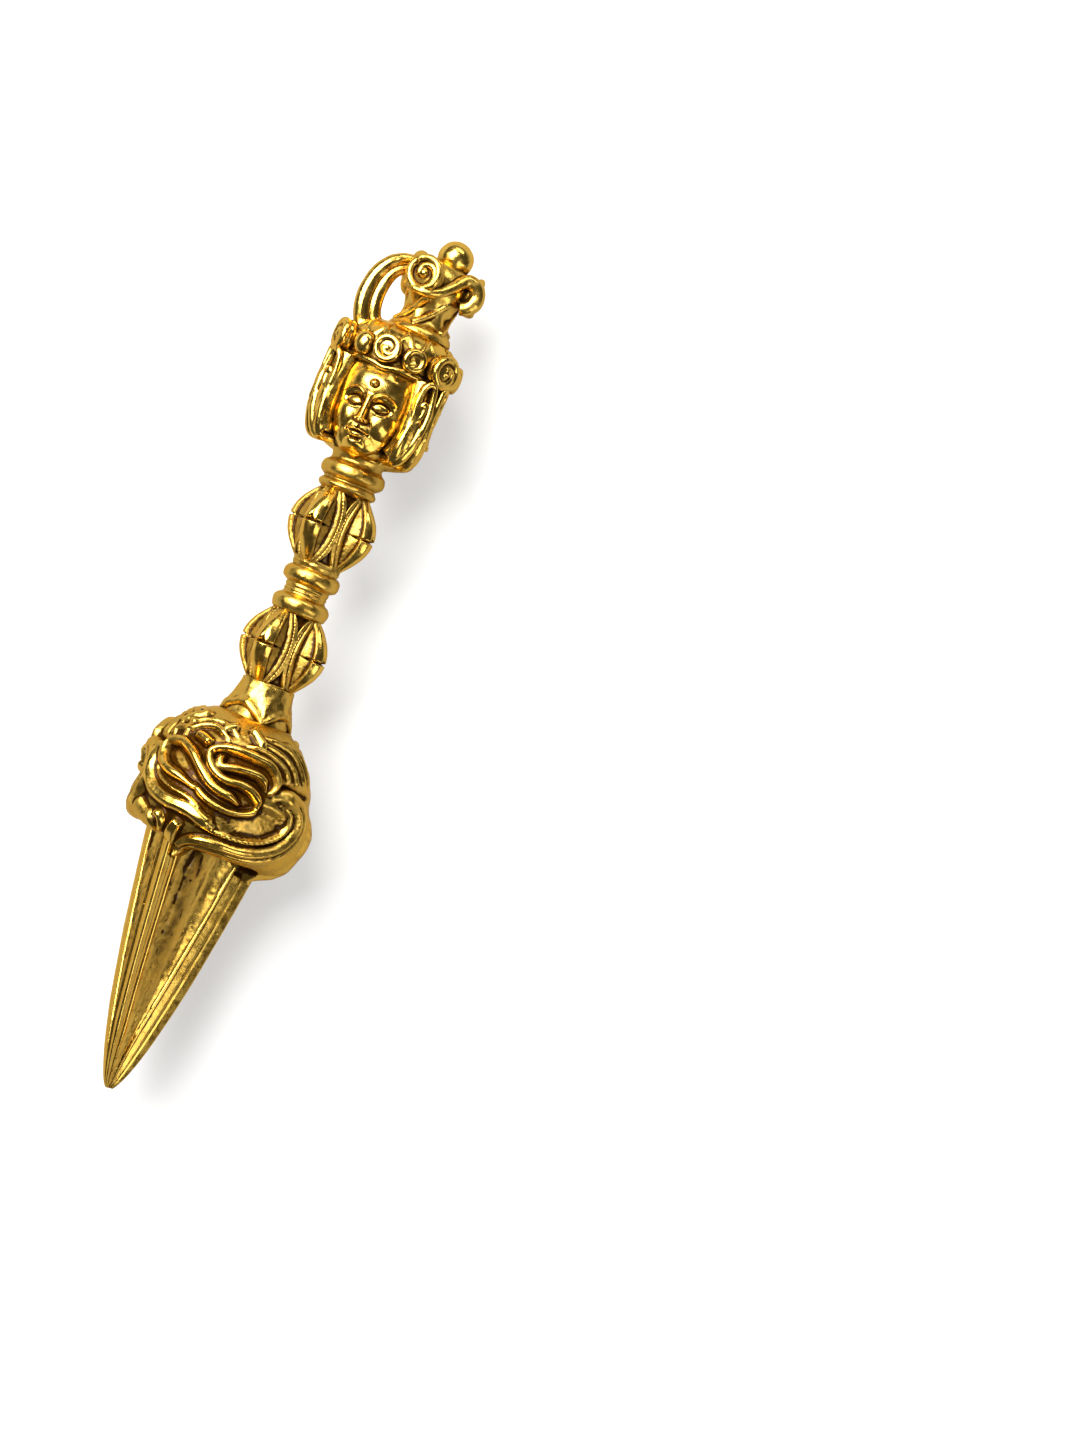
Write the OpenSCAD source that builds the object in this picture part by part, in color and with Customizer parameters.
// Phurba: a three-edged ritual peg of brass with a knotted guard, two vajra knots as a grip, a
// head with three faces and a bail to hang it by. Its pieces are strung on one rod.
// It lies along +Y with its point towards -Y and the front of its head upwards.
// Inside the modules the phurba stands on its point. Heights are above the point, and turns are
// degrees round the rod: 0 is the front, 90 is its right-hand side as seen from the front.

/* [Blade] */
// Height of the blade from its point to the guard
blade_len = 25.4; // [22:0.2:30]
// Reach of an edge from the middle of the blade, at the guard
blade_edge_r = 7.1; // [6.6:0.1:7.8]
// Width of the plain flank beside each edge
blade_flank = 2.1; // [1.6:0.1:2.6]
// Reach of a flute's floor from the middle of the blade, at the guard
blade_floor_r = 2.8; // [2.5:0.1:3.4]
// How far the blade's top stands to the left of the rod
blade_offset = 1.1; // [0:0.1:1.2]
// Turn of the front edge
blade_turn = -12; // [-40:1:40]

/* [Guard] */
// Height of the knotted guard
guard_len = 14.2; // [12:0.2:17]
// Reach of the guard at its widest height, without its carving
guard_r = 8.9; // [8.2:0.1:9.6]
// Height of the widest part above the guard's foot
guard_widest = 6.1; // [5:0.1:7]
// Reach of the guard's foot, where the blade ends
guard_foot_r = 5.6; // [5:0.1:6.2]
// How far the carved lips and serpents stand out
carving_out = 0.95; // [0.6:0.05:1.1]
// Depth of the dished field of each lobe
dish_depth = 0.5; // [0.3:0.1:0.8]
// Turn of the carving's front lobe
guard_turn = -15; // [-40:1:40]

/* [Grip] */
// Height of the collar above the guard
collar_len = 3.7; // [3:0.1:5]
// Reach of the collar's foot
collar_foot_r = 3.7; // [3.4:0.1:4.2]
// Reach of the collar's top, where a knot stands on it
collar_top_r = 2.6; // [2.4:0.1:3]
// Turn of the collar's front leaf tip
collar_turn = 15; // [-45:1:45]
// Height of a vajra knot
knot_len = 7.8; // [7:0.1:10]
// Reach of a vajra knot's prongs
knot_r = 4.95; // [4.5:0.05:5.5]
// Reach of a vajra knot's ends
knot_end_r = 2.75; // [2.6:0.05:3]
// Turn of the knots' front prongs
knot_turn = -25; // [-45:1:45]
// Height of the waist spool between the knots
spool_len = 5.2; // [4.6:0.1:7]
// Reach of the waist spool's two rings
spool_r = 2.95; // [2.8:0.05:3.4]
// Reach of the waist spool's hollow
spool_waist_r = 2.25; // [2:0.05:2.5]

/* [Head] */
// Height of the neck below the head
neck_len = 3.4; // [3:0.1:5]
// Reach of the neck's ring
neck_ring_r = 3.3; // [3:0.05:3.6]
// Height of the head from chin to hairline
head_len = 9.4; // [8.4:0.1:11]
// Reach of the head between its faces
head_r = 5.7; // [5.4:0.1:6.1]
// How far an ear stands out of the head
ear_out = 1.25; // [0.8:0.05:1.5]
// Turn of the front face
head_turn = -10; // [-40:1:40]

/* [Crown] */
// Height of the crown of hair
crown_len = 4.6; // [4.4:0.1:6]
// Reach of the hairline
crown_r = 6.1; // [5.8:0.1:6.4]
// Radius of the six small curls
bead_r = 1.1; // [0.8:0.05:1.2]
// Radius of the three curls over the faces
curl_r = 1.45; // [1.2:0.05:1.6]
// Radius of the three scrolls between the faces
scroll_r = 1.75; // [1.4:0.05:1.9]

/* [Topknot] */
// Height of the topknot
topknot_len = 7.2; // [6.8:0.1:9]
// Reach of the topknot's narrow neck
topknot_neck_r = 2.4; // [2.3:0.05:2.8]
// How far the topknot stands off the rod, away from the bail
topknot_offset = 0.9; // [0.6:0.05:1]
// Turn of the topknot's front scroll
topknot_turn = -23; // [-45:1:45]
// Radius of the topknot's scrolls
topknot_scroll_r = 1.8; // [1.5:0.05:1.9]
// Radius of the finial ball
ball_r = 1.85; // [1.6:0.05:2.1]
// How far the ball stands off the topknot's middle, away from the bail
ball_offset = 0.65; // [0.3:0.05:0.8]
// Height of the flat seat of the ball below its middle
ball_seat = 1.05; // [0.8:0.05:1.3]

/* [Bail] */
// Thickness of the bail's bar
bail_d = 2.1; // [1.6:0.05:2.2]
// Radius of the bail's bend, along the middle of the bar
bail_bend_r = 3.25; // [3:0.05:3.6]
// Turn of the bail
bail_turn = -80; // [-90:1:-70]
// Depth of the sockets that hold the bail's ends
bail_socket = 0.9; // [0.5:0.05:1]

/* [Rod] */
// Thickness of the rod that everything is strung on
rod_d = 2.2; // [1.6:0.1:2.4]
// Depth of the rod's seat in the blade
rod_seat = 3.4; // [2:0.1:5]
// How far the rod goes up into the topknot
rod_top = 4.5; // [3:0.1:4.6]
// Gap round the rod, the bail's ends and the ball's peg
bore_gap = 0.05; // [0.02:0.01:0.1]

/* [Hidden] */

brass = "#c9a03c";
bright_brass = "#dcb54e";
dark_brass = "#a67f2c";

// Heights at which the pieces meet
guard_z = blade_len;
collar_z = guard_z + guard_len;
lower_knot_z = collar_z + collar_len;
spool_z = lower_knot_z + knot_len;
upper_knot_z = spool_z + spool_len;
neck_z = upper_knot_z + knot_len;
head_z = neck_z + neck_len;
crown_z = head_z + head_len;
topknot_z = crown_z + crown_len;
ball_z = topknot_z + topknot_len;
total_len = ball_z + ball_seat + ball_r;

// Distance in degrees, 0 to 180, from a turn to the nearest of a number of equal stations
function from_station(turn, stations) =
    let (step = 360 / stations, rest = turn - step * floor(turn / step)) min(rest, step - rest);

// A smooth rise from 0 to 1
function ramp(x) = let (u = max(0, min(1, x))) u * u * (3 - 2 * u);

// A smooth bump that is 1 in its middle and 0 beyond its half width
function bump(x, half) = 1 - ramp(abs(x) / half);

// A point of a surface at a turn, a reach and a height
function on_turn(turn, r, z) = [r * sin(turn), -r * cos(turn), z];

// Heights of a body's rings. A crowding over 1 draws them together at the foot.
function ring_heights(from, to, rings, crowding = 1) =
    [for (j = [0:rings]) from + (to - from) * pow(j / rings, crowding)];

// A closed body through rings of points, with as many points in each ring as it has sides
module ringed_body(points, sides) {
    last = len(points) / sides - 1;
    polyhedron(
        points = points,
        faces = concat(
            [[for (i = [0:sides - 1]) i]],
            [[for (i = [0:sides - 1]) last * sides + sides - 1 - i]],
            [for (j = [0:last - 1]) for (i = [0:sides - 1])
                let (k = (i + 1) % sides)
                [j * sides + i, (j + 1) * sides + i, (j + 1) * sides + k, j * sides + k]]));
}

// A body round the rod, whose reach is a function of turn and height
module turned_body(reach, heights, sides) {
    ringed_body([for (z = heights) for (i = [0:sides - 1])
        on_turn(360 * i / sides, reach(360 * i / sides, z), z)], sides);
}

// Turns a piece that is drawn at the front
module at_turn(turn) {
    rotate([0, 0, turn]) children();
}

// Places what is drawn along +Z so that it points outwards at a turn
module outwards(turn, r, z) {
    at_turn(turn) translate([0, -r, z]) rotate([90, 0, 0]) children();
}

// A round hole along the rod between two heights
module rod_hole(from, to) {
    translate([0, 0, from]) cylinder(d = rod_d + 2 * bore_gap, h = to - from, $fn = 48);
}

// A ring with a half-round edge
module ring(r, thick, z) {
    translate([0, 0, z]) rotate_extrude($fn = 96) {
        translate([r - thick / 2, 0]) circle(d = thick, $fn = 32);
        translate([0, -thick / 2]) square([r - thick / 2, thick]);
    }
}

// A flat curl of hair that faces outwards: a rolled rim round a boss, on a round backing
module curl(r, thick) {
    rim = r * 0.32;
    translate([0, 0, -thick]) cylinder(r = r * 0.93, h = thick - rim * 0.9, $fn = 48);
    rotate_extrude($fn = 48) translate([r - rim, -rim]) circle(r = rim, $fn = 32);
    translate([0, 0, -rim * 0.9]) sphere(r = rim, $fn = 32);
}

// The blade's edges reach out with a growing height, and each flank runs in to a flute's rim.
// Its middle leaves the rod's line above the point.
blade_blunt = 0.3;
blade_growth = 0.6;
blade_flank_angle = 24;
flank_bow = 0.03;
flute_hollow = 1.5;
function blade_share(z) = pow((z + blade_blunt) / (blade_len + blade_blunt), blade_growth);
function blade_reach(turn, z) =
    let (d = from_station(turn, 3),
         edge = blade_edge_r * blade_share(z),
         flank = min(blade_flank, edge * 0.75),
         rim_x = edge - flank * cos(blade_flank_angle),
         rim_y = flank * sin(blade_flank_angle),
         rim_turn = atan2(rim_y, rim_x),
         rim_r = norm([rim_x, rim_y]),
         floor_r = min(blade_floor_r * blade_share(z), rim_r * 0.9))
    d < rim_turn
        ? edge * sin(blade_flank_angle) / sin(blade_flank_angle + d)
            + flank_bow * flank * sin(180 * d / rim_turn)
        : floor_r + (rim_r - floor_r) * pow((60 - d) / (60 - rim_turn), flute_hollow);

blade_sides = 48;
blade_lean = 0.75;
function blade_middle(z) = [-blade_offset * pow(z / blade_len, blade_lean), 0, 0];
blade_points = [for (z = ring_heights(0, blade_len, 16, 1.5)) for (i = [0:blade_sides - 1])
    let (turn = 360 * i / blade_sides) on_turn(turn + blade_turn, blade_reach(turn, z), z) + blade_middle(z)];

module blade() {
    color(brass) difference() {
        ringed_body(blade_points, blade_sides);
        rod_hole(blade_len - rod_seat, blade_len + 1);
    }
}

// The guard's field runs in from its widest height to the blade and to the collar. Its points are
// a reach and a height above the foot, at sweeps from -90 degrees at the foot to 90 at the top.
field_power = 1.35;
field_steps = 48;
function field_point(sweep) =
    let (end_r = sweep < 0 ? guard_foot_r : collar_foot_r,
         tall = sweep < 0 ? guard_widest : guard_len - guard_widest)
    [end_r + (guard_r - end_r) * pow(max(0, cos(sweep)), field_power), guard_widest + tall * sin(sweep)];
field = [for (k = [0:field_steps]) field_point(-90 + 180 * k / field_steps)];
// Way up the field to each of its points, and tables from one measure to another
field_way = [for (k = 0, way = 0; k <= field_steps;
    way = way + (k < field_steps ? norm(field[k + 1] - field[k]) : 0), k = k + 1) way];
way_of_height = [for (k = [0:field_steps]) [field[k].y, field_way[k]]];
height_of_way = [for (k = [0:field_steps]) [field_way[k], field[k].y]];
reach_of_way = [for (k = [0:field_steps]) [field_way[k], field[k].x]];
field_end = field_way[field_steps];
function on_field(way) = [lookup(way, reach_of_way), lookup(way, height_of_way)];
field_step = 0.2;
function field_out(way) =
    let (d = on_field(way + field_step) - on_field(way - field_step)) [d.y, -d.x] / norm(d);

// Carving of one lobe. Each form has a half width, a share of the carving's height and a path,
// whose points are a turn from the lobe's front and a share of the guard's height.
guard_forms = [
    // The lip hooks up round the dished field
    [0.95, 1, [[-4, 0.02], [1, 0.05], [12, 0.12], [25, 0.14], [40, 0.15], [52, 0.18], [62, 0.25], [69, 0.35],
        [71, 0.46], [68, 0.55], [62, 0.61], [54, 0.63], [48, 0.62]]],
    // The jaw, with its tooth and the tongue beside it
    [1.2, 0.9, [[-47, 0.23], [-39, 0.18], [-31, 0.15], [-24, 0.16]]],
    [0.55, 0.9, [[-24, 0.21], [-19, 0.22], [-17, 0.16], [-20, 0.11]]],
    [0.65, 0.65, [[-4, 0.22], [-9, 0.12], [-14, 0.02]]],
    // The band that crosses over the lip's foot
    [0.8, 0.95, [[-38, 0.71], [-41, 0.63], [-41, 0.55], [-38, 0.45], [-29, 0.36], [-16, 0.33], [0, 0.32],
        [12, 0.29], [18, 0.27]]],
    // The lower serpent
    [0.6, 0.95, [[-2, 0.47], [-13, 0.51], [-25, 0.53], [-33, 0.58], [-36, 0.65], [-33, 0.71], [-24, 0.73],
        [-13, 0.69], [-2, 0.61], [7, 0.55], [15, 0.52], [22, 0.51], [28, 0.48]]],
    // The upper serpent: its inner strand, its body and its scaled belly
    [0.5, 0.85, [[43, 0.63], [38, 0.69], [30, 0.7], [18, 0.69], [10, 0.67], [7, 0.71], [9, 0.75]]],
    [0.55, 1, [[47, 0.62], [50, 0.68], [48, 0.74], [41, 0.79], [29, 0.8], [15, 0.8], [5, 0.78], [-1, 0.74],
        [2, 0.67], [9, 0.62], [17, 0.6], [26, 0.61], [34, 0.59], [40, 0.54], [41, 0.49]]],
    [0.45, 0.6, [[41, 0.49], [38, 0.44], [27, 0.41], [15, 0.42], [6, 0.45], [-2, 0.5]]],
    // Hair over the serpents
    [0.4, 0.5, [[-47, 0.77], [-38, 0.82], [-28, 0.84], [-22, 0.88], [-10, 0.91], [6, 0.87]]],
    [0.5, 0.4, [[26, 0.92], [50, 0.9], [65, 0.83], [70, 0.73]]]];
mm_per_degree = guard_r * PI / 180;
carving = [for (form = guard_forms) [form[0], form[1],
    [for (point = form[2]) [point.x * mm_per_degree, lookup(point.y * guard_len, way_of_height)]]]];
dish_middle = [42 * mm_per_degree, lookup(0.38 * guard_len, way_of_height)];
dish_half = [4.1, 2.4];
// The carving dies away at the foot and under the collar
foot_fade = 0.4;
top_fade = 0.8;

function segment_gap(p, a, b) =
    let (along = b - a, t = max(0, min(1, (p - a) * along / (along * along)))) norm(p - a - t * along);
function form_lift(p, form) =
    let (path = form[2], gap = min([for (i = [1:len(path) - 1]) segment_gap(p, path[i - 1], path[i])]))
    form[1] * sqrt(max(0, 1 - pow(gap / form[0], 2)));
function carved(turn, way) =
    let (lift = max([for (lap = [0, 120], form = carving)
             form_lift([(turn + lap) * mm_per_degree, way], form)]),
         from_dish = [turn * mm_per_degree, way] - dish_middle,
         dish = bump(norm([from_dish.x / dish_half.x, from_dish.y / dish_half.y]), 1))
    (carving_out * lift - dish_depth * dish * (1 - lift))
        * ramp(way / foot_fade) * ramp((field_end - way) / top_fade);

guard_rings = 46;
lobe_sides = 40;
guard_sides = 3 * lobe_sides;
function lobe_turn(i) = 120 * i / lobe_sides - 60;
lobe_rings = [for (j = [0:guard_rings])
    let (way = field_end * j / guard_rings, place = on_field(way), out = field_out(way))
    [for (i = [0:lobe_sides - 1]) place + carved(lobe_turn(i), way) * out]];
guard_points = [for (ring = lobe_rings) for (i = [0:guard_sides - 1])
    let (place = ring[i % lobe_sides]) on_turn(guard_turn + lobe_turn(i), place.x, guard_z + place.y)];

module guard() {
    color(brass) difference() {
        ringed_body(guard_points, guard_sides);
        rod_hole(guard_z - 1, collar_z + 1);
    }
}

// The collar narrows upwards and has four leaf tips round its foot
collar_leaves = 4;
module collar() {
    leaf_r = 0.55;
    color(dark_brass) difference() {
        union() {
            rotate_extrude($fn = 96) polygon([
                [0, collar_z],
                [collar_foot_r, collar_z],
                [collar_foot_r, collar_z + collar_len * 0.15],
                [(collar_foot_r + collar_top_r) / 2, collar_z + collar_len * 0.55],
                [collar_top_r, collar_z + collar_len * 0.85],
                [collar_top_r, collar_z + collar_len],
                [0, collar_z + collar_len]]);
            for (i = [0:collar_leaves - 1])
                at_turn(collar_turn + 360 * i / collar_leaves)
                    translate([0, -collar_foot_r + leaf_r * 0.4, collar_z])
                        cylinder(r1 = leaf_r / 2, r2 = leaf_r, h = collar_len * 0.3, $fn = 32);
        }
        rod_hole(collar_z - 1, lower_knot_z + 1);
    }
}

// A knot of four bowed prongs round a hollow core
prong_turn = 34;
knot_core_r = 2.3;
function knot_reach(turn, up) =
    let (share = up / knot_len,
         bow = pow(sin(180 * share), 0.95),
         core = knot_core_r + (knot_end_r - knot_core_r) * pow(abs(2 * share - 1), 1.5),
         outer = knot_end_r + (knot_r - knot_end_r) * bow,
         d = from_station(turn, 4),
         side = min(1, d / prong_turn))
    core + (outer - core) * (1 - pow(side, 2.2));

module knot(z) {
    difference() {
        translate([0, 0, z]) at_turn(knot_turn)
            turned_body(function(turn, up) knot_reach(turn, up), ring_heights(0, knot_len, 16), 64);
        rod_hole(z - 1, z + knot_len + 1);
    }
}
module lower_knot() {
    color(bright_brass) knot(lower_knot_z);
}
module upper_knot() {
    color(bright_brass) knot(upper_knot_z);
}

// The waist spool has a ring at each end, with a hollow between them
module spool() {
    lower_ring = 1.6;
    upper_ring = 1.5;
    lip = 0.7;
    color(dark_brass) difference() {
        union() {
            translate([0, 0, spool_z]) cylinder(r = spool_waist_r, h = spool_len, $fn = 96);
            ring(spool_r, lower_ring, spool_z + lower_ring / 2);
            ring(spool_r, upper_ring, spool_z + spool_len - lip - upper_ring / 2);
            translate([0, 0, spool_z + spool_len - lip])
                cylinder(r1 = knot_end_r - 0.15, r2 = knot_end_r, h = lip, $fn = 96);
        }
        rod_hole(spool_z - 1, upper_knot_z + 1);
    }
}

// The neck has a thin lip, a thick ring and a throat under the chin
module neck() {
    lip = 0.7;
    ring_thick = 1.7;
    throat_r = neck_ring_r - 0.35;
    color(dark_brass) difference() {
        union() {
            translate([0, 0, neck_z]) cylinder(r = throat_r - 0.2, h = neck_len, $fn = 96);
            ring(neck_ring_r - 0.25, lip, neck_z + lip / 2);
            ring(neck_ring_r, ring_thick, neck_z + lip + 0.3 + ring_thick / 2);
            translate([0, 0, head_z - 0.5]) cylinder(r = throat_r, h = 0.5, $fn = 96);
        }
        rod_hole(neck_z - 1, head_z + 1);
    }
}

// The head is round at the jaw, fuller at each face, with a nose, a brow and a pair of long ears
jaw_rise = 2.4;
chin_r = 3.5;
ear_turn = 51;
nose_out = 0.75;
brow_out = 0.25;
nose_foot = 0.36;
nose_top = 0.62;
function head_reach(turn, z) =
    let (up = z - head_z,
         share = up / head_len,
         d = from_station(turn, 3),
         jaw = min(1, up / jaw_rise),
         body = chin_r + (head_r - chin_r) * sqrt(1 - (1 - jaw) * (1 - jaw)),
         face = 0.45 * bump(d, 45) * ramp(share * 5),
         ear = ear_out * bump(d - ear_turn, 13) * ramp(share * 9) * ramp((0.97 - share) * 12),
         nose = nose_out * bump(d, 10) * ramp((share - nose_foot + 0.05) * 16)
             * ramp((nose_top - share) / (nose_top - nose_foot)),
         brow = brow_out * bump(d, 34) * bump(share - nose_top - 0.04, 0.12))
    body + face + ear + nose + brow;

module head() {
    color(bright_brass) difference() {
        at_turn(head_turn)
            turned_body(function(turn, z) head_reach(turn, z), ring_heights(head_z, crown_z, 26), 96);
        rod_hole(head_z - 1, crown_z + 1);
    }
}

// The crown is a low dome over a hairline, with a row of curls over each face
curl_row = 1.6;
shoulder_r = 5.0;
module crown() {
    curl_z = crown_z + curl_row;
    color(brass) difference() {
        union() {
            rotate_extrude($fn = 96) polygon([
                [0, crown_z],
                [crown_r, crown_z],
                [crown_r, crown_z + 0.35],
                [crown_r - 0.3, crown_z + 0.5],
                [crown_r - 0.3, crown_z + crown_len * 0.65],
                [shoulder_r, topknot_z - 0.5],
                [shoulder_r - 1.2, topknot_z],
                [0, topknot_z]]);
            for (i = [0:2]) at_turn(head_turn + 120 * i) {
                outwards(0, crown_r + 0.35, curl_z) curl(curl_r, 1.4);
                outwards(60, crown_r + 0.8, curl_z) curl(scroll_r, 1.9);
                for (side = [-1, 1])
                    outwards(side * 29, crown_r - 0.55, curl_z - 0.1) sphere(r = bead_r, $fn = 48);
            }
        }
        rod_hole(crown_z - 1, topknot_z + 1);
        bail_bar(2 * bore_gap);
    }
}

// The topknot narrows to a neck, swells again and carries three scrolls
topknot_base_r = 3.2;
topknot_swell_r = 3.0;
topknot_top_r = 2.3;
topknot_scroll_out = 1.75;
topknot_scroll_z = topknot_z + 5.5;
module on_topknot() {
    at_turn(bail_turn + 180) translate([0, -topknot_offset, 0]) rotate([0, 0, -bail_turn - 180]) children();
}
module topknot() {
    color(bright_brass) difference() {
        on_topknot() union() {
            rotate_extrude($fn = 96) polygon([
                [0, topknot_z],
                [topknot_base_r, topknot_z],
                [topknot_neck_r + 0.2, topknot_z + 0.9],
                [topknot_neck_r, topknot_z + 1.7],
                [topknot_neck_r + 0.1, topknot_z + 2.6],
                [topknot_swell_r, topknot_z + 4],
                [topknot_swell_r, topknot_z + topknot_len * 0.85],
                [topknot_top_r, ball_z],
                [0, ball_z]]);
            for (i = [0:2])
                outwards(topknot_turn + 120 * i, topknot_swell_r + topknot_scroll_out, topknot_scroll_z)
                    curl(topknot_scroll_r, topknot_scroll_out + 1.1);
        }
        rod_hole(topknot_z - 1, topknot_z + rod_top);
        bail_bar(2 * bore_gap);
        ball_peg(bore_gap);
    }
}

// The finial ball is flat where it sits, with a peg into the topknot
ball_peg_d = 1.2;
ball_peg_len = 1;
module at_ball() {
    at_turn(bail_turn + 180) translate([0, -topknot_offset - ball_offset, ball_z]) children();
}
module ball_peg(gap) {
    at_ball() translate([0, 0, -ball_peg_len])
        cylinder(d = ball_peg_d + 2 * gap, h = ball_peg_len + 0.2, $fn = 48);
}
module finial_ball() {
    color(bright_brass) union() {
        at_ball() intersection() {
            translate([0, 0, ball_seat]) sphere(r = ball_r, $fn = 96);
            cylinder(r = ball_r + 1, h = 2 * ball_r + ball_seat, $fn = 96);
        }
        ball_peg(0);
    }
}

// The bail leaves the topknot level, bends down and out, and runs down into the crown's shoulder.
// Its bend is drawn flat, from its top end at angle 0 to its leg at the sweep's end.
bail_top_z = topknot_scroll_z + 0.3;
bail_bend_out = topknot_swell_r - topknot_offset - 0.35;
bail_sweep = 105;
bail_leg = 1.9;
module on_bend() {
    at_turn(bail_turn) translate([0, -bail_bend_out, bail_top_z - bail_bend_r])
        rotate([0, -90, 180]) children();
}
module bail_bar(extra) {
    bar_d = bail_d + extra;
    on_bend() {
        rotate_extrude(angle = bail_sweep, $fn = 96) translate([bail_bend_r, 0]) circle(d = bar_d, $fn = 32);
        translate([bail_bend_r, 0, 0]) rotate([90, 0, 0])
            cylinder(d = bar_d, h = bail_socket + extra / 2, $fn = 48);
        rotate([0, 0, bail_sweep]) translate([bail_bend_r, 0, 0]) rotate([-90, 0, 0])
            cylinder(d = bar_d, h = bail_leg + bail_socket + extra / 2, $fn = 48);
    }
}
module bail() {
    color(brass) bail_bar(0);
}

// The rod runs from its seat in the blade to the top of its hole in the topknot
module rod() {
    color(dark_brass) translate([0, 0, blade_len - rod_seat])
        cylinder(d = rod_d, h = topknot_z + rod_top - blade_len + rod_seat, $fn = 48);
}

// The phurba is laid down on the back of its guard, with its middle over the origin
guard_left = min([for (p = guard_points) p.x]);
guard_right = max([for (p = guard_points) p.x]);
guard_back = max([for (p = guard_points) p.y]);
module laid_down() {
    translate([-(guard_left + guard_right) / 2, -total_len / 2, guard_back]) rotate([-90, 0, 0]) children();
}

laid_down() blade();
laid_down() guard();
laid_down() collar();
laid_down() lower_knot();
laid_down() spool();
laid_down() upper_knot();
laid_down() neck();
laid_down() head();
laid_down() crown();
laid_down() topknot();
laid_down() finial_ball();
laid_down() bail();
laid_down() rod();
